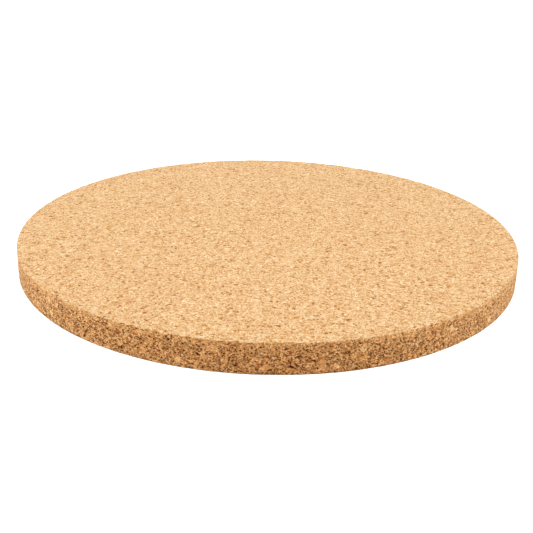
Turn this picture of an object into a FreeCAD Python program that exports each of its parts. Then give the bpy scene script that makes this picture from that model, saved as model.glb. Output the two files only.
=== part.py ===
"""Round, frameless disc of agglomerated cork, lying flat.

Cork granules and binder are pressed into a block, the block is sliced and sanded to
thickness, and the disc is cut out. The fine granulate is one pressed slab. The coarser
granules that the slice and the cut lay open are solids of their own, each bonded in a
pocket of its own outline, flush with the face it shows on.

Frame: millimetres, +Z up, origin at the centre of the underside.
"""

import FreeCAD
import Part
import Sketcher

import math
import os
import random

from FreeCAD import Placement, Rotation, Vector

PARTS_FOLDER = "parts"

# The driving dimensions, in millimetres, and the counts. Each becomes a cell of the sheet.
SIZES = {
    "disc_diameter": 177.8,
    "disc_thickness": 10.16,
    "edge_round": 0.35,
    # width across each kind of coarse granule
    "pale_width": 3.0,
    "golden_width": 2.5,
    "bark_width": 1.5,
    # a granule's depth under the face, and its floor's width, as shares of its width
    "depth_share": 0.55,
    "floor_share": 0.62,
    # the least cork between two granules, and between a granule and the disc's edge
    "wall": 0.5,
    # radius of the middle of each face, where the disc rests, with no coarse granule in it
    "plain_middle": 4.0,
    # how many granules of each kind show on each face, and on the rim
    "pale_on_face": 70,
    "golden_on_face": 70,
    "bark_on_face": 60,
    "pale_on_rim": 30,
    "golden_on_rim": 30,
    "bark_on_rim": 40,
}
KINDS = ("pale", "golden", "bark")
SURFACES = ("top", "underside", "rim")

GRANULE_SEED = 11
FEWEST_SIDES, MOST_SIDES = 5, 7
NARROWEST_OUTLINE = 0.62  # a granule's shorter axis as a share of its width
SMALLEST_GRANULE = 0.75  # the smallest granule of a kind as a share of the kind's width
CORNER_JITTER = 0.28  # how far a corner strays from even spacing, as a share of that spacing
PROUD = 1.0  # mm that a granule stands out of the disc before the disc's own faces cut it
MOST_THROWS = 4000  # tries at placing one granule before the build gives up


def make_sheet(doc):
    """The spreadsheet that holds the driving dimensions, one aliased cell for each."""
    sheet = doc.addObject("Spreadsheet::Sheet", "Sizes")
    for row, (alias, value) in enumerate(SIZES.items(), start=1):
        sheet.set(f"A{row}", alias)
        sheet.set(f"B{row}", str(value))
        sheet.setAlias(f"B{row}", alias)
    doc.recompute()
    return sheet


def make_disc(doc):
    """The whole disc as cut: a circle padded to thickness, both edges slightly rounded."""
    body = doc.addObject("PartDesign::Body", "Disc")
    ground = next(f for f in body.Origin.OriginFeatures if f.Role == "XY_Plane")

    sketch = body.newObject("Sketcher::SketchObject", "DiscOutline")
    sketch.AttachmentSupport = [(ground, "")]
    sketch.MapMode = "FlatFace"
    start_radius = SIZES["disc_diameter"] / 2
    centre = Vector(0, 0, 0)
    sketch.addGeometry(Part.Circle(centre, Vector(0, 0, 1), start_radius))
    sketch.addConstraint(Sketcher.Constraint("Coincident", 0, 3, -1, 1))
    diameter = sketch.addConstraint(Sketcher.Constraint("Diameter", 0, 2 * start_radius))
    sketch.setExpression(f"Constraints[{diameter}]", "Sizes.disc_diameter")

    pad = body.newObject("PartDesign::Pad", "DiscThickness")
    pad.Profile = sketch
    pad.setExpression("Length", "Sizes.disc_thickness")
    doc.recompute()

    circles = [
        f"Edge{n}"
        for n, edge in enumerate(pad.Shape.Edges, start=1)
        if isinstance(edge.Curve, Part.Circle)
    ]
    fillet = body.newObject("PartDesign::Fillet", "EdgeRounds")
    fillet.Base = (pad, circles)
    fillet.setExpression("Radius", "Sizes.edge_round")
    doc.recompute()
    return body


class Seat:
    """One granule's place: its own frame with +Z out of the cork, its width and its kind."""

    def __init__(self, kind, place, width):
        self.kind = kind
        self.place = place
        self.width = width

    def gap_to(self, other):
        """Cork left between the circles round two granules."""
        apart = (self.place.Base - other.place.Base).Length
        return apart - (self.width + other.width) / 2


def face_place(rng, sheet, width, surface):
    """A place on the top or the underside, even by area, clear of the edge."""
    nearest = sheet.plain_middle + width / 2
    farthest = sheet.disc_diameter / 2 - 2 * sheet.wall - width
    radius = math.sqrt(rng.uniform(nearest**2, farthest**2))
    around = rng.uniform(0, 2 * math.pi)
    on_top = surface == "top"
    spot = Vector(
        radius * math.cos(around),
        radius * math.sin(around),
        sheet.disc_thickness if on_top else 0.0,
    )
    outward = Vector(0, 0, 1 if on_top else -1)
    return spot, outward


def rim_place(rng, sheet, width):
    """A place on the cut edge, clear of both faces and of the granules seated in them."""
    deepest = sheet.depth_share * sheet.pale_width
    low = max(width / 2, deepest) + sheet.wall
    height = rng.uniform(low, sheet.disc_thickness - low)
    around = rng.uniform(0, 2 * math.pi)
    outward = Vector(math.cos(around), math.sin(around), 0)
    spot = outward * (sheet.disc_diameter / 2) + Vector(0, 0, height)
    return spot, outward


def throw_seats(rng, sheet, surface):
    """Every granule's seat on one surface, the widest kind first, none nearer than the wall."""
    where = "rim" if surface == "rim" else "face"
    seats = []
    for kind in KINDS:
        kind_width = sheet.get(f"{kind}_width")
        for _ in range(int(sheet.get(f"{kind}_on_{where}"))):
            for _ in range(MOST_THROWS):
                width = kind_width * rng.uniform(SMALLEST_GRANULE, 1.0)
                if surface == "rim":
                    spot, outward = rim_place(rng, sheet, width)
                else:
                    spot, outward = face_place(rng, sheet, width, surface)
                upright = Rotation(Vector(0, 0, 1), outward)
                turn = Rotation(Vector(0, 0, 1), rng.uniform(0, 360))
                seat = Seat(kind, Placement(spot, upright * turn), width)
                if all(seat.gap_to(other) >= sheet.wall for other in seats):
                    seats.append(seat)
                    break
            else:
                raise RuntimeError(f"no room left for a {kind} granule on the {surface}")
    return seats


def outline(rng, width):
    """Corners of a convex, uneven polygon: jittered points on an ellipse as wide as the granule."""
    sides = rng.randint(FEWEST_SIDES, MOST_SIDES)
    half_long = width / 2
    half_short = half_long * rng.uniform(NARROWEST_OUTLINE, 1.0)
    corners = []
    for n in range(sides):
        around = 2 * math.pi * (n + rng.uniform(-CORNER_JITTER, CORNER_JITTER)) / sides
        corners.append((half_long * math.cos(around), half_short * math.sin(around)))
    return corners


def granule(rng, seat, sheet):
    """One granule: its outline at the face, tapering to a narrower floor inside the cork.

    The floor's polygon is the outline scaled, so every side is a flat trapezium.
    """
    mouth_corners = outline(rng, seat.width)
    depth = sheet.depth_share * seat.width
    mouth_share = 1 + (1 - sheet.floor_share) * PROUD / depth
    mouth = [Vector(mouth_share * x, mouth_share * y, PROUD) for x, y in mouth_corners]
    floor = [
        Vector(sheet.floor_share * x, sheet.floor_share * y, -depth)
        for x, y in mouth_corners
    ]
    count = len(mouth)
    faces = [
        Part.Face(Part.makePolygon(mouth + mouth[:1])),
        Part.Face(Part.makePolygon(floor + floor[:1])),
    ]
    for n in range(count):
        after = (n + 1) % count
        side = [mouth[n], mouth[after], floor[after], floor[n], mouth[n]]
        faces.append(Part.Face(Part.makePolygon(side)))
    solid = Part.Solid(Part.Shell(faces))
    if solid.Volume < 0:
        solid.reverse()
    solid.Placement = seat.place
    return solid


def make_granules(doc, sheet, disc, surface):
    """The coarse granules of one surface: a sub-part for each kind, cut flush by the disc."""
    rng = random.Random(f"{GRANULE_SEED} {surface}")
    seats = throw_seats(rng, sheet, surface)
    groups = []
    for kind in KINDS:
        solids = [granule(rng, seat, sheet) for seat in seats if seat.kind == kind]
        uncut = doc.addObject("Part::Feature", f"Uncut_{surface}_{kind}")
        uncut.Shape = Part.Compound(solids)
        flush = doc.addObject("Part::Common", f"{surface}_{kind}_granules")
        flush.Label = f"{surface}_{kind}_granules"
        flush.Base = uncut
        flush.Tool = disc
        groups.append(flush)
    doc.recompute()
    return groups


def make_slab(doc, disc, groups):
    """The fine granulate: the disc less the pocket of every coarse granule."""
    pockets = doc.addObject("Part::Compound", "GranulePockets")
    pockets.Links = groups
    slab = doc.addObject("Part::Cut", "pressed_slab")
    slab.Label = "pressed_slab"
    slab.Base = disc
    slab.Tool = pockets
    doc.recompute()
    return slab


def check(doc, sub_parts, disc):
    """Stops the build unless every feature is sound and the sub-parts fill the disc exactly."""
    for thing in doc.Objects:
        bad = {"Invalid", "Error"} & set(thing.State)
        if bad:
            raise RuntimeError(f"{thing.Label} is {bad}")
    for part in sub_parts:
        shape = part.Shape
        if shape.isNull() or not shape.isValid() or not shape.Solids:
            raise RuntimeError(f"{part.Label} has no sound solid")
        print(f"{part.Label}: {len(shape.Solids)} solids, {shape.Volume:.1f} mm3")
    filled = sum(part.Shape.Volume for part in sub_parts)
    whole = disc.Shape.Volume
    print(f"sub-parts {filled:.1f} mm3, disc {whole:.1f} mm3")
    if abs(filled - whole) > 1e-4 * whole:
        raise RuntimeError("the sub-parts don't fill the disc")


def main():
    doc = FreeCAD.newDocument("CorkDisc")
    sheet = make_sheet(doc)
    disc = make_disc(doc)
    groups = []
    for surface in SURFACES:
        groups += make_granules(doc, sheet, disc, surface)
    slab = make_slab(doc, disc, groups)

    sub_parts = [slab, *groups]
    check(doc, sub_parts, disc)
    os.makedirs(PARTS_FOLDER, exist_ok=True)
    for part in sub_parts:
        part.Shape.exportStep(os.path.join(PARTS_FOLDER, f"{part.Label}.step"))


main()
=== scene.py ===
"""Looks of the round cork board: sanded faces, a cut porous rim and coarse granules set in them."""

import math

import bmesh
import bpy
import numpy as np
from mathutils import Matrix, Vector


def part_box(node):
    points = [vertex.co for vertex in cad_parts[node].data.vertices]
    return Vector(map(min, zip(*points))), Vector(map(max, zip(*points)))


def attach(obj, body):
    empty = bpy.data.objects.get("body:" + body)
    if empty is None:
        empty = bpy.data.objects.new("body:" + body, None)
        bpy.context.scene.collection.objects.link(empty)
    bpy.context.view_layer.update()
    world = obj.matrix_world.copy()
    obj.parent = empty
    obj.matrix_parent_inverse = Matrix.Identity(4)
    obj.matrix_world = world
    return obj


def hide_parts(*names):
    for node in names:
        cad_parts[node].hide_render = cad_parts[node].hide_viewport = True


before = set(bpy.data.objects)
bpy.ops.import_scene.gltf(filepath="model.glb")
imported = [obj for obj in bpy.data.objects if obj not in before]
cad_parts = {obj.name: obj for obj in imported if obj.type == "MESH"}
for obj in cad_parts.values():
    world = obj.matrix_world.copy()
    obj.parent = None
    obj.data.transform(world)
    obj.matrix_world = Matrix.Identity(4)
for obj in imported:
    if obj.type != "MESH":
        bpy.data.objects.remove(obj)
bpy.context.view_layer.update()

MM = 0.001

# The disc's size, read from the frame, and the round of its two edges, as in the CAD.
SLAB_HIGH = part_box("pressed_slab")[1]
RADIUS = SLAB_HIGH.y
THICKNESS = SLAB_HIGH.z
EDGE_ROUND = 0.35 * MM

SURFACES = ("top", "underside", "rim")
KINDS = ("pale", "golden", "bark")
RIM_QUARTERS = ("right", "back", "left", "front")


# ---------------------------------------------------------------- repeatable randomness

# Large odd numbers that spread neighbouring cells and salts far apart, within 32 bits.
CELL_FACTORS = (73856093, 19349663, 83492791)
SALT_FACTOR = 2654435761
MIXERS = (2246822519, 3266489917)
LARGEST = 0xFFFFFFFF

# Every draw has a salt of its own, so that two draws over the same cells differ.
SHIFT_SALT, WOBBLE_SALT = 1, 2
LOW_SALT, SEAM_SALT, LOST_SALT = 31, 32, 33
CUT_LOW_SALT, CREVICE_SALT, TORN_SALT = 41, 42, 43
LOOSE_SALT, PIT_REACH_SALT, PIT_SALT = 44, 45, 46
TONE_SALT = 51
ROUGH_SALT = 61
COARSE_TONE_SALT = 71
GRANULE_CELLS_SALT, PIT_CELLS_SALT = 100, 200
# These are added to the salt of the cells that they belong to.
MIDDLE_SALT, REACH_SALT = 10, 20


def hashed(cells, salt):
    """A number from 0 to 1 for each whole-number cell, the same on every run."""
    whole = cells.astype(np.int64).astype(np.uint64)
    mixed = np.zeros(len(whole), dtype=np.uint64)
    for axis, factor in enumerate(CELL_FACTORS):
        mixed = mixed ^ (whole[:, axis] * np.uint64(factor))
    mixed = (mixed + np.uint64(salt * SALT_FACTOR)) & np.uint64(LARGEST)
    for mixer in MIXERS:
        mixed = (mixed ^ (mixed >> np.uint64(15))) * np.uint64(mixer)
        mixed = mixed & np.uint64(LARGEST)
    mixed = mixed ^ (mixed >> np.uint64(16))
    return mixed.astype(float) / LARGEST


def noise(points, size, salt):
    """Smooth noise from -1 to 1 whose bumps are about `size` across."""
    scaled = points / size
    corner = np.floor(scaled)
    blend = scaled - corner
    blend = blend * blend * (3 - 2 * blend)
    total = np.zeros(len(points))
    for offset in np.ndindex(2, 2, 2):
        share = np.prod(np.where(offset, blend, 1 - blend), axis=1)
        total += share * hashed(corner + offset, salt)
    return 2 * total - 1


def smoothstep(low, high, value):
    """0 below low, 1 above high and a smooth rise between them."""
    t = np.clip((value - low) / (high - low), 0, 1)
    return t * t * (3 - 2 * t)


# ---------------------------------------------------------------- granules and pits in 3-D

# Granules lie a little flat, because the block was pressed downwards.
GRANULE_SIZE = np.array([1.25, 1.25, 0.70]) * MM
PIT_SIZE = np.array([1.15, 1.15, 0.75]) * MM
GRANULE_WANDER = 0.35 * MM
GRANULE_WANDER_SIZE = 1.1 * MM
# A granule's reach against its neighbours': the least, and how much more the greatest is.
LEAST_REACH = 0.75
REACH_SPREAD = 0.5


def granulate(points, size, salt):
    """The granule that each point lies in, as its cell, and how far the point is, in cells,
    from the granule's middle, from the next granule and above the granule's middle.

    Every cell of a 3-D grid holds one granule, whose middle and reach are its own.
    """
    wander = np.stack(
        [noise(points, GRANULE_WANDER_SIZE, salt + axis) for axis in range(3)], axis=1
    )
    scaled = (points + GRANULE_WANDER * wander) / size
    home = np.floor(scaled)
    nearest = np.full(len(points), np.inf)
    second = np.full(len(points), np.inf)
    owner = home.copy()
    rise = np.zeros(len(points))
    for offset in np.ndindex(3, 3, 3):
        cell = home + offset - 1
        jitter = np.stack(
            [hashed(cell, salt + MIDDLE_SALT + axis) for axis in range(3)], axis=1
        )
        reach = LEAST_REACH + REACH_SPREAD * hashed(cell, salt + REACH_SALT)
        away = scaled - cell - jitter
        apart = np.linalg.norm(away, axis=1) / reach
        closer = apart < nearest
        second = np.where(closer, nearest, np.minimum(second, apart))
        nearest = np.where(closer, apart, nearest)
        owner[closer] = cell[closer]
        rise = np.where(closer, away[:, 2], rise)
    return owner, nearest, second - nearest, rise


# ---------------------------------------------------------------- the slab's smooth mesh

# Spacing of the slab's vertices: the top and the rim are what is looked at.
TOP_SPACING = 0.33 * MM
RIM_SPACING = 0.20 * MM
UNDERSIDE_SPACING = 0.50 * MM
# How far a vertex strays along its ring and across it, as a share of the spacing.
GRID_JITTER = 0.35
ROUND_RINGS = 4  # rings over each edge round


def profile():
    """Rings from the middle of the top, over the rim, to the middle of the underside.

    Each is (radius, height, how far the surface faces outward, how far it faces up, spacing).
    """
    flat = RADIUS - EDGE_ROUND
    low, high = EDGE_ROUND, THICKNESS - EDGE_ROUND
    rings = []
    for radius in np.linspace(0, flat, round(flat / TOP_SPACING), endpoint=False):
        rings.append((radius, THICKNESS, 0.0, 1.0, TOP_SPACING))
    rows = round((high - low) / RIM_SPACING)
    for middle, start in ((high, 0), (low, math.pi / 2)):
        for turn in np.linspace(start, start + math.pi / 2, ROUND_RINGS):
            outward, up = math.sin(turn), math.cos(turn)
            radius = flat + EDGE_ROUND * outward
            height = middle + EDGE_ROUND * up
            rings.append((radius, height, outward, up, RIM_SPACING))
        if middle == high:
            for height in np.linspace(high, low, rows + 1)[1:-1]:
                rings.append((RADIUS, height, 1.0, 0.0, RIM_SPACING))
    for radius in np.linspace(flat, 0, round(flat / UNDERSIDE_SPACING) + 1)[1:]:
        rings.append((radius, 0.0, 0.0, -1.0, UNDERSIDE_SPACING))
    return rings


def stitch(first, first_count, second, second_count):
    """Triangles that fill the strip between two rings, given each ring's first vertex."""
    steps = np.concatenate(
        [
            (np.arange(first_count) + 1) / first_count,
            (np.arange(second_count) + 1) / second_count,
        ]
    )
    on_second = np.repeat([0, 1], [first_count, second_count])
    on_second = on_second[np.argsort(steps, kind="stable")]
    on_first = 1 - on_second
    done_second = np.cumsum(on_second) - on_second
    done_first = np.cumsum(on_first) - on_first
    start = first + done_first % first_count
    across = second + done_second % second_count
    ahead = np.where(
        on_second,
        second + (done_second + 1) % second_count,
        first + (done_first + 1) % first_count,
    )
    triangles = np.stack([start, across, ahead], axis=1)
    real = (start != across) & (across != ahead) & (ahead != start)
    return triangles[real]


def slab_grid():
    """The smooth slab: its points, outward directions and triangles."""
    points, outwards, triangles = [], [], []
    first, previous = 0, None
    for radius, height, outward, up, spacing in profile():
        count = max(1, round(2 * math.pi * radius / spacing))
        index = np.arange(count)
        cells = np.stack([index, np.full(count, first), np.zeros(count)], axis=1)
        shift = GRID_JITTER * (hashed(cells, SHIFT_SALT) - 0.5)
        angle = 2 * math.pi * (index + shift) / count
        wobble = 0
        if outward == 0 and radius > 0:
            wobble = GRID_JITTER * spacing * (hashed(cells, WOBBLE_SALT) - 0.5)
        reach = radius + wobble
        ring = (reach * np.cos(angle), reach * np.sin(angle), np.full(count, height))
        points.append(np.stack(ring, axis=1))
        facing = (outward * np.cos(angle), outward * np.sin(angle), np.full(count, up))
        outwards.append(np.stack(facing, axis=1))
        if previous is not None:
            triangles.append(stitch(*previous, first, count))
        previous = (first, count)
        first += count
    return np.concatenate(points), np.concatenate(outwards), np.concatenate(triangles)


# ---------------------------------------------------------------- the slab's relief

# Pairs here are where a smooth step starts and ends. Seams and crevices open in patches of
# noise, and they are as wide as a share of a granule on each side of its border.

# A sanded face: its low granules, its seams, and granules lost from it.
SANDED_LOW = 0.03 * MM
SEAM_DEPTH = 0.12 * MM
SEAM_PATCHES = 1.7 * MM
SEAM_OPENING = (-0.05, 0.6)
SEAM_WIDTH = (0.02, 0.22)
LOST_DEPTH = 0.25 * MM
LOST_SHARE = 0.008
LOST_EDGE = (0.0, 0.35)

# The cut rim: its low granules, its crevices, torn granules and pits.
CUT_LOW = 0.09 * MM
CREVICE_DEPTH = 0.32 * MM
CREVICE_PATCHES = 1.1 * MM
CREVICE_OPENING = (-0.2, 0.3)
CREVICE_LOOSENING = 0.2  # how much more open crevices are where the granules hold loosely
CREVICE_WIDTH = (0.0, 0.14)
TORN_DEPTH = 0.35 * MM
TORN_SHARE = 0.012
TORN_EDGE = (0.0, 0.3)
PIT_DEPTH = 0.75 * MM
PIT_SHARE = 0.42
LEAST_PIT_REACH = 0.16
PIT_REACH_SPREAD = 0.40

# How far a surface has to face outward to be rim.
RIM_EDGE = (0.35, 0.95)

# Painted shade in the hollows, carried to the colour by the "shade" attribute. The light comes
# from above, so a pit's painted shade is darkest under its upper lip: this much is left at its
# lower lip, and it grows with height in the pit, in cells.
LOWER_LIP_SHADE = 0.35
UPPER_LIP = (-0.28, -0.02)
PIT_SHADING = (0.1, 0.5)
CREVICE_SHADE = 0.6
CREVICE_SHADING = (0.30 * MM, 0.55 * MM)
SANDED_SHADING = (0.15 * MM, 0.35 * MM)

# The skin under the top face, pressed firm: where it starts and ends, as shares of the
# thickness, how far that line wanders, and how much firmer the skin is.
SKIN_START, SKIN_END = 0.74, 0.97
SKIN_WANDER = 0.08
SKIN_WANDER_SIZE = 3 * MM
SKIN_FIRMNESS = 0.7


def sanded_depth(points, owner, border):
    """How far a sanded face lies under the true plane: low granules, seams and rare pits."""
    low = SANDED_LOW * hashed(owner, LOW_SALT)
    open_seam = smoothstep(*SEAM_OPENING, noise(points, SEAM_PATCHES, SEAM_SALT))
    seam = SEAM_DEPTH * open_seam * (1 - smoothstep(*SEAM_WIDTH, border))
    lost = (hashed(owner, LOST_SALT) < LOST_SHARE) * smoothstep(*LOST_EDGE, border)
    return low + seam + LOST_DEPTH * lost


def looseness(points):
    """How loosely the granules hold at the cut: firm under the pressed top skin, loose below."""
    height_share = points[:, 2] / THICKNESS
    wander = SKIN_WANDER * noise(points, SKIN_WANDER_SIZE, LOOSE_SALT)
    return 1 - SKIN_FIRMNESS * smoothstep(SKIN_START, SKIN_END, height_share + wander)


def cut_depth(points, owner, border, pit_owner, pit_middle):
    """How far the cut rim lies under the true cylinder, with torn granules, crevices and pits,
    and how far into a pit each point is, from 0 to 1."""
    loose = looseness(points)
    low = CUT_LOW * hashed(owner, CUT_LOW_SALT)
    patches = noise(points, CREVICE_PATCHES, CREVICE_SALT)
    open_crevice = smoothstep(*CREVICE_OPENING, patches + CREVICE_LOOSENING * loose)
    crevice = CREVICE_DEPTH * open_crevice * (1 - smoothstep(*CREVICE_WIDTH, border))
    torn = (hashed(owner, TORN_SALT) < TORN_SHARE * loose) * smoothstep(*TORN_EDGE, border)
    reach = LEAST_PIT_REACH + PIT_REACH_SPREAD * hashed(pit_owner, PIT_REACH_SALT) ** 3
    bowl = np.clip(1 - (pit_middle / reach) ** 2, 0, 1)
    pit = (hashed(pit_owner, PIT_SALT) < PIT_SHARE * loose) * bowl
    return low + crevice + TORN_DEPTH * torn + PIT_DEPTH * pit, pit


def slab_surface(points, outwards):
    """How deep each point lies under the true surface, and the numbers that its material reads:
    the granule's tone, how much painted shade darkens the point, how far it is on the rim and
    how open it is."""
    owner, _, border, _ = granulate(points, GRANULE_SIZE, GRANULE_CELLS_SALT)
    pit_owner, pit_middle, _, pit_rise = granulate(points, PIT_SIZE, PIT_CELLS_SALT)
    rim = smoothstep(*RIM_EDGE, np.hypot(outwards[:, 0], outwards[:, 1]))
    sanded = sanded_depth(points, owner, border)
    cut, pit = cut_depth(points, owner, border, pit_owner, pit_middle)
    depth = sanded * (1 - rim) + cut * rim
    # Painted shade: pits, deep crevices and sunk spots of a sanded face are darkened in colour,
    # most under a pit's upper lip.
    overhang = LOWER_LIP_SHADE + (1 - LOWER_LIP_SHADE) * smoothstep(*UPPER_LIP, pit_rise)
    pit_shade = overhang * smoothstep(*PIT_SHADING, pit)
    crevice_shade = CREVICE_SHADE * smoothstep(*CREVICE_SHADING, cut) * overhang
    sanded_shade = smoothstep(*SANDED_SHADING, depth)
    attributes = {
        "tone": hashed(owner, TONE_SALT),
        "shade": sanded_shade * (1 - rim) + np.maximum(pit_shade, crevice_shade) * rim,
        "rim": rim,
        "open": rim * looseness(points),
    }
    return depth, attributes


# ---------------------------------------------------------------- the coarse granules' places

# What tells a granule's mouth from its floor: a share of its depth under the highest point.
MOUTH_SHARE = 0.35


def islands(node):
    """The vertices of each separate granule of a CAD node, as arrays of points."""
    work = bmesh.new()
    work.from_mesh(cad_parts[node].data)
    bmesh.ops.remove_doubles(work, verts=work.verts, dist=0.001 * MM)
    unseen = set(work.verts)
    found = []
    while unseen:
        stack = [unseen.pop()]
        members = []
        while stack:
            vertex = stack.pop()
            members.append(vertex)
            for edge in vertex.link_edges:
                other = edge.other_vert(vertex)
                if other in unseen:
                    unseen.remove(other)
                    stack.append(other)
        members.sort(key=lambda vertex: vertex.index)
        found.append(np.array([vertex.co for vertex in members]))
    work.free()
    found.sort(key=lambda cloud: tuple(cloud.mean(axis=0).round(7)))
    return found


def outward_at(cloud, surface):
    """The direction out of the cork at a granule."""
    if surface == "rim":
        middle = cloud.mean(axis=0)
        return np.array([middle[0], middle[1], 0]) / math.hypot(middle[0], middle[1])
    return np.array([0.0, 0.0, 1.0 if surface == "top" else -1.0])


class Granule:
    """One coarse granule of the frame: its outline at the surface, in its own flat axes."""

    def __init__(self, cloud, surface):
        self.outward = outward_at(cloud, surface)
        self.across = np.array([0.0, 0.0, 1.0]) if surface == "rim" else np.array([1.0, 0, 0])
        self.along = np.cross(self.outward, self.across)
        heights = cloud @ self.outward
        self.level = heights.max()
        self.depth = self.level - heights.min()
        mouth = cloud[heights > self.level - MOUTH_SHARE * self.depth]
        self.middle = mouth.mean(axis=0)
        flat = np.stack([(mouth - self.middle) @ self.across, (mouth - self.middle) @ self.along])
        turn = np.arctan2(flat[1], flat[0])
        self.outline = flat[:, np.argsort(turn)].T

    def radius_towards(self, turn):
        """Distance from the middle to the outline, for each direction in `turn`."""
        corner_turn = np.arctan2(self.outline[:, 1], self.outline[:, 0])
        corner_reach = np.hypot(self.outline[:, 0], self.outline[:, 1])
        return np.interp(turn, corner_turn, corner_reach, period=2 * math.pi)


GRANULES = {
    (surface, kind): [
        Granule(cloud, surface) for cloud in islands(f"{surface}_{kind}_granules")
    ]
    for surface in SURFACES
    for kind in KINDS
}


# ---------------------------------------------------------------- pockets in the slab

POCKET_DEPTH = 0.28 * MM
# The pocket's wall starts just outside a granule's outline and ends this far inside it.
POCKET_START, POCKET_END = -0.05 * MM, 0.3 * MM
# A point farther than this from a granule's level is on another surface.
POCKET_REACH = 0.6 * MM
# Points are looked up by cubes wider than any coarse granule.
SEARCH_CUBE = 4 * MM


def cube_members(points):
    """The points of each cube of the slab, as indices, by the cube's three whole numbers."""
    keys = np.floor(points / SEARCH_CUBE).astype(int)
    order = np.lexsort(keys.T)
    ordered = keys[order]
    starts = np.flatnonzero(np.any(np.diff(ordered, axis=0, prepend=ordered[:1] - 1), axis=1))
    ends = np.append(starts[1:], len(order))
    return {tuple(ordered[s]): order[s:e] for s, e in zip(starts, ends)}


def pocket_depth(points):
    """How deep the slab is sunk under each point, so that no slab shows through a granule."""
    depth = np.zeros(len(points))
    members = cube_members(points)
    for granule in [granule for group in GRANULES.values() for granule in group]:
        home = np.floor(granule.middle / SEARCH_CUBE).astype(int)
        cubes = [tuple(home + np.array(offset) - 1) for offset in np.ndindex(3, 3, 3)]
        near = [members[cube] for cube in cubes if cube in members]
        if not near:
            continue
        index = np.concatenate(near)
        offset = points[index] - granule.middle
        across, along = offset @ granule.across, offset @ granule.along
        away = np.hypot(across, along)
        inside = granule.radius_towards(np.arctan2(along, across)) - away
        under = np.abs(offset @ granule.outward) < POCKET_REACH
        sink = smoothstep(POCKET_START, POCKET_END, inside) * POCKET_DEPTH * under
        depth[index] = np.maximum(depth[index], sink)
    return depth


# ---------------------------------------------------------------- the pieces

# A pebble's rings: share of the outline's reach, and share of the granule's depth that the
# ring lies below its level.
PEBBLE_RINGS = ((0.35, 0.0), (0.68, 0.0), (0.92, 0.01), (1.0, 0.08), (0.93, 0.35), (0.72, 0.85))
PEBBLE_FLOOR = 0.9
PEBBLE_SIDES = 20
# Its roughness, and how far the whole pebble is sunk, so that nothing stands out of the disc.
ROUGH_SIZE = 0.6 * MM
ROUGH_HEIGHT = 0.035 * MM
PEBBLE_SINK = 0.045 * MM


def make_piece(name, points, faces, attributes):
    """A smooth-shaded mesh object that carries a number for each point in each attribute."""
    mesh = bpy.data.meshes.new(name)
    mesh.from_pydata(points, [], faces)
    mesh.polygons.foreach_set("use_smooth", [True] * len(mesh.polygons))
    for attribute, values in attributes.items():
        layer = mesh.attributes.new(attribute, "FLOAT", "POINT")
        layer.data.foreach_set("value", values.astype(np.float32))
    mesh.update()
    piece = bpy.data.objects.new(name, mesh)
    bpy.context.scene.collection.objects.link(piece)
    return piece


def slab_parts(points, outwards, triangles):
    """Which triangles are in each of the slab's meshes: the two flat faces, and the four
    quarters of the rim, which meets the faces where the edge rounds start."""
    corners = outwards[triangles]
    on_rim = (np.hypot(corners[..., 0], corners[..., 1]) > 0).any(axis=1)
    faces_up = corners[..., 2].sum(axis=1) > 0
    middle = points[triangles].mean(axis=1)
    turn = np.arctan2(middle[:, 1], middle[:, 0])
    quarter = np.round(turn / (math.pi / 2)).astype(int) % len(RIM_QUARTERS)
    parts = {"top": faces_up & ~on_rim, "underside": ~faces_up & ~on_rim}
    for number, side in enumerate(RIM_QUARTERS):
        parts[f"rim_{side}"] = on_rim & (quarter == number)
    return parts


def build_slab():
    """The pressed slab, with a pocket sunk under every coarse granule, as six meshes, each of
    which unwraps nearly flat."""
    points, outwards, triangles = slab_grid()
    depth, attributes = slab_surface(points, outwards)
    depth = np.maximum(depth, pocket_depth(points))
    moved = points - outwards * depth[:, None]
    pieces = []
    for part, chosen in slab_parts(points, outwards, triangles).items():
        used, corners = np.unique(triangles[chosen], return_inverse=True)
        own = {name: values[used] for name, values in attributes.items()}
        faces = corners.reshape(-1, 3).tolist()
        pieces.append(make_piece(f"cork_slab_{part}", moved[used].tolist(), faces, own))
    return pieces


def pebble_points(granule):
    """A coarse granule's middle, rings and floor point: its outline, rough and a little domed."""
    turn = np.linspace(-math.pi, math.pi, PEBBLE_SIDES, endpoint=False)
    edge = granule.radius_towards(turn)
    rings = []
    for reach, sunk in PEBBLE_RINGS:
        radius = edge * reach
        flat = (
            granule.middle
            + np.outer(radius * np.cos(turn), granule.across)
            + np.outer(radius * np.sin(turn), granule.along)
        )
        rise = granule.level - (flat @ granule.outward) - sunk * granule.depth
        rings.append(flat + np.outer(rise, granule.outward))
    top = granule.middle + granule.outward * (granule.level - granule.middle @ granule.outward)
    floor = top - granule.outward * granule.depth * PEBBLE_FLOOR
    cloud = np.concatenate([top[None], *rings, floor[None]])
    rough = noise(cloud, ROUGH_SIZE, ROUGH_SALT) * ROUGH_HEIGHT
    return cloud + np.outer(rough - PEBBLE_SINK, granule.outward)


def pebble_faces(first):
    """The faces over the points of one pebble, whose middle is vertex `first`."""
    faces = []
    last = first + 1 + PEBBLE_SIDES * len(PEBBLE_RINGS)
    for n in range(PEBBLE_SIDES):
        after = (n + 1) % PEBBLE_SIDES
        faces.append((first, first + 1 + n, first + 1 + after))
        faces.append((last, last - PEBBLE_SIDES + after, last - PEBBLE_SIDES + n))
        for ring in range(len(PEBBLE_RINGS) - 1):
            upper = first + 1 + ring * PEBBLE_SIDES
            lower = upper + PEBBLE_SIDES
            faces.append((upper + n, lower + n, lower + after, upper + after))
    return faces


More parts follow.
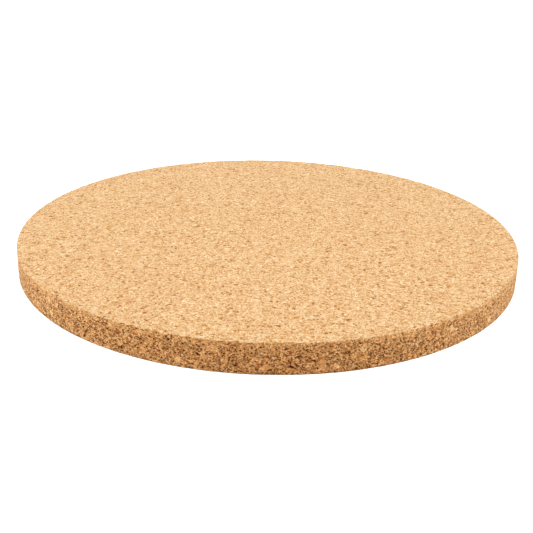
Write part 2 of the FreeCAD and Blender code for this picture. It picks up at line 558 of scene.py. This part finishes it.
def build_granules(surface, kind):
    """The coarse granules of one kind on one surface, standing for their CAD node."""
    points, faces, numbers = [], [], []
    for number, granule in enumerate(GRANULES[surface, kind]):
        cloud = pebble_points(granule)
        faces.extend(pebble_faces(len(points)))
        points.extend(cloud.tolist())
        numbers.extend([number] * len(cloud))
    zeros = np.zeros(len(numbers))
    cells = np.stack([numbers, zeros, zeros], axis=1)
    attributes = {
        "tone": hashed(cells, COARSE_TONE_SALT + SURFACES.index(surface)),
        "shade": zeros,
        "rim": np.full(len(numbers), 1.0 if surface == "rim" else 0.0),
        "open": zeros,
    }
    piece = make_piece(f"cork_{surface}_{kind}", points, faces, attributes)
    work = bmesh.new()
    work.from_mesh(piece.data)
    bmesh.ops.recalc_face_normals(work, faces=work.faces)
    work.to_mesh(piece.data)
    work.free()
    return piece


# ---------------------------------------------------------------- nodes

class Nodes:
    """A short way to add nodes to a material and link them."""

    def __init__(self, material):
        material.use_nodes = True
        self.tree = material.node_tree
        self.tree.nodes.clear()

    def feed(self, socket, value):
        """Links an output to the socket, or sets the socket to a plain value."""
        if isinstance(value, bpy.types.NodeSocket):
            self.tree.links.new(value, socket)
        else:
            socket.default_value = value

    def add(self, kind, inputs=None, **settings):
        """A node of that kind, with its settings, and each input linked or set."""
        node = self.tree.nodes.new(kind)
        for name, value in settings.items():
            setattr(node, name, value)
        for name, value in (inputs or {}).items():
            self.feed(node.inputs[name], value)
        return node

    def attribute(self, name):
        return self.add("ShaderNodeAttribute", attribute_name=name).outputs["Fac"]

    def noise(self, place, scale, detail=2.0, roughness=0.5):
        """Smooth noise, with a Fac output from 0 to 1 and a Color output of three of them."""
        inputs = {"Vector": place, "Scale": scale, "Detail": detail, "Roughness": roughness}
        return self.add("ShaderNodeTexNoise", inputs)

    def cells(self, place, size):
        """Cells of that size: how far a point is from its cell's middle, and a number from 0
        to 1 of the cell's own in each of Red and Green."""
        cell = self.add("ShaderNodeTexVoronoi", {"Vector": place, "Scale": 1 / size})
        own = self.add("ShaderNodeSeparateColor", {"Color": cell.outputs["Color"]})
        return cell.outputs["Distance"], own.outputs

    def remap(self, value, source=(0.0, 1.0), to=(0.0, 1.0), **settings):
        """The value moved from the source range to the other one, and held inside it."""
        inputs = {
            "Value": value,
            "From Min": source[0],
            "From Max": source[1],
            "To Min": to[0],
            "To Max": to[1],
        }
        return self.add("ShaderNodeMapRange", inputs, **settings).outputs["Result"]

    def ramp(self, factor, stops):
        """A colour for each factor, from stops of a place and a colour."""
        node = self.add("ShaderNodeValToRGB", {"Fac": factor})
        elements = node.color_ramp.elements
        while len(elements) < len(stops):
            elements.new(0.5)
        for element, (place, colour) in zip(elements, stops):
            element.position = place
            element.color = colour
        return node.outputs["Color"]

    def mix(self, blend, factor, first, second):
        """Two colours mixed. Sockets 0, 6 and 7 are the ones that a colour mix shows."""
        node = self.add("ShaderNodeMix", data_type="RGBA", blend_type=blend)
        for socket, value in ((0, factor), (6, first), (7, second)):
            self.feed(node.inputs[socket], value)
        return node.outputs[2]

    def maths(self, operation, first, second):
        node = self.add("ShaderNodeMath", {0: first, 1: second}, operation=operation)
        return node.outputs[0]


# ---------------------------------------------------------------- cork

WHITE = (1.0, 1.0, 1.0)
CORK = (0.493, 0.293, 0.135)
# The rim's tint: cut cork is browner than a sanded face, and part of the tint is painted warm
# shade, for a rim that gets less light than the top.
RIM_BROWN_AND_SHADE = (1.22, 0.99, 0.73, 1.0)
# Painted shade: the colours that cork is multiplied by at the bottom of a seam, hole or pit, on a
# sanded face and on the rim.
SHALLOW_CREVICE_SHADE = (0.50, 0.23, 0.05, 1.0)
DEEP_CREVICE_SHADE = (0.19, 0.045, 0.004, 1.0)

# Powers that green and blue move with when red darkens, and when it pales.
DARKENING = (2.0, 4.0)
PALING = (2.15, 3.9)

FINE_SIZE = 0.85 * MM
SPECK_SIZE = 0.36 * MM
PORE_SIZE = 1.10 * MM

# Scales of the noises, in bumps to the metre, and the length that the first one bends by.
BEND_SCALE = 1200.0
STREAK_SCALE = 2400.0
GRAIN_SCALE = 2600.0
OPENNESS_SCALE = 1300.0
BEND = 0.5 * MM

# Fine cells are 1.8 times as wide as high, and streaks are long one way. Each granule's are
# turned about the axis, by its own share of nearly a full turn.
PRESSED = (1.0, 1.0, 1.8)
STREAK_STRETCH = (0.22, 1.0, 1.0)
STREAK_AXIS = (0.4, 0.5, 0.77)
STREAK_TURN = 6.28

# Pairs of a value on a sanded face and a value on the rim.
TONE_STRENGTH = (1.0, 0.65)
RELIEF = (0.12 * MM, 0.34 * MM)
# The same, for the loose part of the rim: a seam's width, the noise under which it is shut,
# and the number over which a pore is there.
SEAM_SPREAD = (0.06, 0.18)
SHUT_UNDER = (0.53, 0.46)
PORE_OVER = (0.94, 0.66)

# Where these start and end: the rim's tint, a seam's gape over its noise, and a pore's wall.
UPRIGHT = (0.85, 1.0)
GAPE = (0.0, 0.10)
PORE_WALL = (0.29, 0.21)

DOME = -0.5
BUMP_STRENGTH = 0.8
# Values for the least and the most grain, and for open cork and the bottom of a hollow.
ROUGHNESS = (0.92, 0.74)
GLOSS = (0.28, 0.0)

# Stops of colour ramps: a place, and the share of the colour there.
PRESSED_TONES = ((0.00, 0.52), (0.05, 0.78), (0.20, 0.95), (0.55, 1.0), (0.85, 1.03), (1.00, 1.09))
PALE_TONES = ((0.0, 1.02), (1.0, 1.12))
GOLDEN_TONES = ((0.0, 0.88), (1.0, 0.97))
BARK_TONES = ((0.0, 0.42), (1.0, 0.68))
LARGER_TONES = ((0.0, 0.955), (1.0, 1.03))
MOTTLE = ((0.30, 0.80), (0.50, 1.0), (0.70, 1.08))
SPECKS = ((0.00, 0.58), (0.08, 0.80), (0.20, 0.97), (0.78, 1.01), (1.00, 1.10))
STREAKS = ((0.32, 0.76), (0.52, 1.0), (0.72, 1.12))

# How much the fine granules stand apart: less in a coarse granule, which is one piece of cork.
SLAB_GRIT = 1.0
COARSE_GRIT = 0.7


def tinted(share, base):
    """The base colour at a share of its red: cork gets more orange as it darkens, more cream
    as it pales, so its green and blue move faster than its red."""
    green, blue = DARKENING if share < 1 else PALING
    return (base[0] * share, base[1] * share**green, base[2] * share**blue, 1.0)


def shades(stops, base=WHITE):
    """The colour at each stop."""
    return [(place, tinted(share, base)) for place, share in stops]


class CorkNodes(Nodes):
    """The nodes of one cork material, which reads the numbers that the mesh carries."""

    def __init__(self, material, tones, grit):
        super().__init__(material)
        self.tones = tones
        self.grit = grit
        self.rim = self.attribute("rim")
        self.opened = self.attribute("open")
        self.place = self.add("ShaderNodeTexCoord").outputs["Object"]
        self.bent = self.bend()
        pressing = {"Vector": self.bent, "Scale": PRESSED}
        self.pressed = self.add("ShaderNodeMapping", pressing).outputs["Vector"]
        self.fine_middle, self.fine_own = self.cells(self.pressed, FINE_SIZE)
        self.grain = self.noise(self.place, GRAIN_SCALE, 3.0, 0.7).outputs["Fac"]
        self.streak = self.streaks()

    def bend(self):
        """The place, moved a little by noise, so that the cells' walls aren't straight."""
        wander = self.noise(self.place, BEND_SCALE).outputs["Color"]
        moved = {0: wander, 1: (BEND,) * 3, 2: self.place}
        return self.add("ShaderNodeVectorMath", moved, operation="MULTIPLY_ADD").outputs["Vector"]

    def streaks(self):
        """The grain of the bark that each granule was ground from, turned the granule's way."""
        turn = self.maths("MULTIPLY", self.fine_own["Green"], STREAK_TURN)
        turning = {"Vector": self.bent, "Axis": STREAK_AXIS, "Angle": turn}
        turned = self.add("ShaderNodeVectorRotate", turning).outputs["Vector"]
        stretching = {"Vector": turned, "Scale": STREAK_STRETCH}
        stretched = self.add("ShaderNodeMapping", stretching).outputs["Vector"]
        return self.noise(stretched, STREAK_SCALE).outputs["Fac"]

    def base_colour(self):
        """In the slab, a tone for each fine granule, shifted a little by the larger one it is
        part of. In a coarse granule, one tone for the whole of it."""
        if self.grit == COARSE_GRIT:
            return self.ramp(self.attribute("tone"), self.tones)
        strength = self.remap(self.rim, to=TONE_STRENGTH)
        fine = self.ramp(self.fine_own["Red"], self.tones)
        colour = self.mix("MULTIPLY", strength, (*CORK, 1.0), fine)
        larger = self.ramp(self.attribute("tone"), shades(LARGER_TONES))
        return self.mix("MULTIPLY", 1.0, colour, larger)

    def colour(self):
        """The base colour with mottling, specks and streaks, and the rim's tint: its browner cut
        colour, partly painted warm shade.
        """
        colour = self.base_colour()
        speck_own = self.cells(self.pressed, SPECK_SIZE)[1]
        layers = ((self.grain, MOTTLE), (speck_own["Red"], SPECKS), (self.streak, STREAKS))
        for factor, stops in layers:
            colour = self.mix("MULTIPLY", 1.0, colour, self.ramp(factor, shades(stops)))
        upright = self.remap(self.rim, source=UPRIGHT)
        return self.mix("MULTIPLY", upright, colour, RIM_BROWN_AND_SHADE)

    def crack(self):
        """Seams between fine granules: thin and mostly shut on a sanded face, open on the rim."""
        seam = self.add(
            "ShaderNodeTexVoronoi",
            {"Vector": self.pressed, "Scale": 1 / FINE_SIZE},
            feature="DISTANCE_TO_EDGE",
        ).outputs["Distance"]
        width = self.remap(self.opened, to=SEAM_SPREAD)
        line = self.remap(seam, (0.0, width), (1.0, 0.0), interpolation_type="SMOOTHSTEP")
        openness = self.noise(self.place, OPENNESS_SCALE, 1.0).outputs["Fac"]
        shut = self.remap(self.opened, to=SHUT_UNDER)
        gape = self.remap(self.maths("SUBTRACT", openness, shut), source=GAPE)
        crack = self.maths("MULTIPLY", line, gape)
        return self.maths("MULTIPLY", crack, self.grit)

    def hole(self):
        """Small holes, where a granule's own pore or a gap in the binder is laid open."""
        middle, own = self.cells(self.pressed, PORE_SIZE)
        rarity = self.remap(self.opened, to=PORE_OVER)
        there = self.maths("GREATER_THAN", own["Red"], rarity)
        mouth = self.remap(middle, source=PORE_WALL)
        return self.maths("MULTIPLY", mouth, there)

    def relief(self, hollow):
        """The normal, with relief too small for the mesh: domed granules, grain and hollows."""
        dome = self.maths("MULTIPLY", self.fine_middle, DOME * self.grit)
        height = self.maths("ADD", self.grain, dome)
        height = self.maths("ADD", height, self.streak)
        height = self.maths("SUBTRACT", height, hollow)
        reach = self.remap(self.rim, to=RELIEF)
        bumping = {"Height": height, "Strength": BUMP_STRENGTH, "Distance": reach}
        return self.add("ShaderNodeBump", bumping).outputs["Normal"]

    def finish(self):
        """The shader: painted shade darkens its colour, and it is less glossy, in its own hollows
        and in the mesh's.
        """
        fine_hollow = self.maths("MAXIMUM", self.crack(), self.hole())
        hollow = self.maths("MAXIMUM", fine_hollow, self.attribute("shade"))
        colour = self.colour()
        # Painted shade: seams, holes and the mesh's shaded hollows take a darker, redder colour.
        crevice = self.mix("MIX", self.rim, SHALLOW_CREVICE_SHADE, DEEP_CREVICE_SHADE)
        painted_shade_colour = self.mix("MULTIPLY", 1.0, colour, crevice)
        shader = self.add(
            "ShaderNodeBsdfPrincipled",
            {
                "Base Color": self.mix("MIX", hollow, colour, painted_shade_colour),
                "Roughness": self.remap(self.grain, to=ROUGHNESS),
                "Normal": self.relief(fine_hollow),
                "Specular IOR Level": self.remap(hollow, to=GLOSS),
            },
        )
        self.add("ShaderNodeOutputMaterial", {"Surface": shader.outputs["BSDF"]})


def cork_material(name, tones, grit):
    """Cork: fine granules in colours from `tones`, with seams, mottling and holes."""
    material = bpy.data.materials.new(name)
    CorkNodes(material, tones, grit).finish()
    return material


MATERIALS = {
    "pressed_cork": cork_material("pressed_cork", shades(PRESSED_TONES), SLAB_GRIT),
    "pale_cork": cork_material("pale_cork", shades(PALE_TONES, CORK), COARSE_GRIT),
    "golden_cork": cork_material("golden_cork", shades(GOLDEN_TONES, CORK), COARSE_GRIT),
    "bark_cork": cork_material("bark_cork", shades(BARK_TONES, CORK), COARSE_GRIT),
}


def finish_piece(piece, node, slot):
    """Gives a piece its material and ties it to the frame."""
    piece.data.materials.append(MATERIALS[slot])
    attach(piece, "root")
    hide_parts(node)


for slab_piece in build_slab():
    finish_piece(slab_piece, "pressed_slab", "pressed_cork")
for surface in SURFACES:
    for kind in KINDS:
        finish_piece(
            build_granules(surface, kind), f"{surface}_{kind}_granules", f"{kind}_cork"
        )


# ---------------------------------------------------------------- floor, light and camera

FLOOR_RADIUS = 0.85
FLOOR_SIDES = 96
FLOOR_PAPER = {"Base Color": (0.92, 0.92, 0.92, 1.0), "Roughness": 0.9, "Specular IOR Level": 0.1}
BACKDROP_RADIUS = 4.0

# Each light's name, place, width in metres, power in watts and colour.
LIGHTS = (
    ("key_above", (0.0, -0.42, 1.15), 0.45, 13.5, (0.98, 0.96, 0.95)),
    ("behind", (0.0, 1.2, 0.55), 1.0, 6.0, (0.95, 1.0, 1.03)),
    ("left_side", (-1.0, 0.1, 0.4), 0.8, 17.5, (0.82, 1.08, 1.24)),
    ("right_side", (1.0, 0.1, 0.4), 0.8, 15.5, (0.82, 1.08, 1.24)),
)
WORLD_STRENGTH = 0.42

CAMERA_ELEVATION = math.radians(21.507)
CAMERA_DISTANCE = 3.906 * RADIUS
# Turns that aim and roll the camera, in degrees about its own axes, one after another.
CAMERA_TURNS = (("up", 0.046), ("right", -1.425), ("forward", -1.395))
SENSOR_WIDTH = 36.0
LENS = 64.03


def stage_piece(name, mesh, kind, inputs):
    """A piece of the studio, with one plain shader of that kind."""
    piece = bpy.data.objects.new(name, mesh)
    bpy.context.scene.collection.objects.link(piece)
    material = bpy.data.materials.new(f"{name}_paper")
    nodes = Nodes(material)
    shader = nodes.add(kind, inputs)
    nodes.add("ShaderNodeOutputMaterial", {"Surface": shader.outputs[0]})
    mesh.materials.append(material)
    return piece


def build_floor():
    """A round sheet of pale paper under the disc."""
    turn = np.linspace(0, 2 * math.pi, FLOOR_SIDES, endpoint=False)
    ring = np.stack([FLOOR_RADIUS * np.cos(turn), FLOOR_RADIUS * np.sin(turn), 0 * turn], axis=1)
    mesh = bpy.data.meshes.new("floor")
    mesh.from_pydata(ring.tolist(), [], [tuple(range(FLOOR_SIDES))])
    stage_piece("floor", mesh, "ShaderNodeBsdfPrincipled", FLOOR_PAPER)


def build_backdrop():
    """A white surround beyond the floor. It is only looked at: it gives and stops no light."""
    work = bmesh.new()
    bmesh.ops.create_uvsphere(work, u_segments=32, v_segments=16, radius=BACKDROP_RADIUS)
    mesh = bpy.data.meshes.new("backdrop")
    work.to_mesh(mesh)
    work.free()
    backdrop = stage_piece("backdrop", mesh, "ShaderNodeEmission", {"Color": (*WHITE, 1.0)})
    backdrop.visible_diffuse = False
    backdrop.visible_glossy = False
    backdrop.visible_transmission = False
    backdrop.visible_shadow = False


def add_area_light(name, place, size, energy, colour):
    """A square soft light at `place` that points at the disc."""
    data = bpy.data.lights.new(name, "AREA")
    data.size = size
    data.energy = energy
    data.color = colour
    light = bpy.data.objects.new(name, data)
    light.location = place
    light.rotation_euler = (-Vector(place)).to_track_quat("-Z", "Y").to_euler()
    bpy.context.scene.collection.objects.link(light)


def set_world(strength):
    """Even white light from all round."""
    world = bpy.data.worlds.new("studio")
    world.use_nodes = True
    background = world.node_tree.nodes["Background"]
    background.inputs["Color"].default_value = (*WHITE, 1.0)
    background.inputs["Strength"].default_value = strength
    bpy.context.scene.world = world


def set_camera():
    """The view of a product shot: from the front, a little above, rolled by a degree or so."""
    target = Vector((0, 0, THICKNESS / 2))
    towards_camera = Vector((0, -math.cos(CAMERA_ELEVATION), math.sin(CAMERA_ELEVATION)))
    place = target + CAMERA_DISTANCE * towards_camera
    forward = (target - place).normalized()
    right = Vector((1, 0, 0))
    up = right.cross(forward)
    for axis, degrees in CAMERA_TURNS:
        about = {"up": up, "right": right, "forward": forward}[axis]
        turn = Matrix.Rotation(math.radians(degrees), 3, about)
        forward, right, up = turn @ forward, turn @ right, turn @ up
    facing = Matrix((right, up, -forward)).transposed()
    data = bpy.data.cameras.new("camera")
    data.sensor_width = SENSOR_WIDTH
    data.lens = LENS
    data.clip_start = 0.01
    camera = bpy.data.objects.new("camera", data)
    camera.matrix_world = Matrix.Translation(place) @ facing.to_4x4()
    bpy.context.scene.collection.objects.link(camera)
    bpy.context.scene.camera = camera


build_floor()
build_backdrop()
set_world(WORLD_STRENGTH)
for light in LIGHTS:
    add_area_light(*light)
set_camera()
bpy.context.scene.view_settings.view_transform = "Standard"
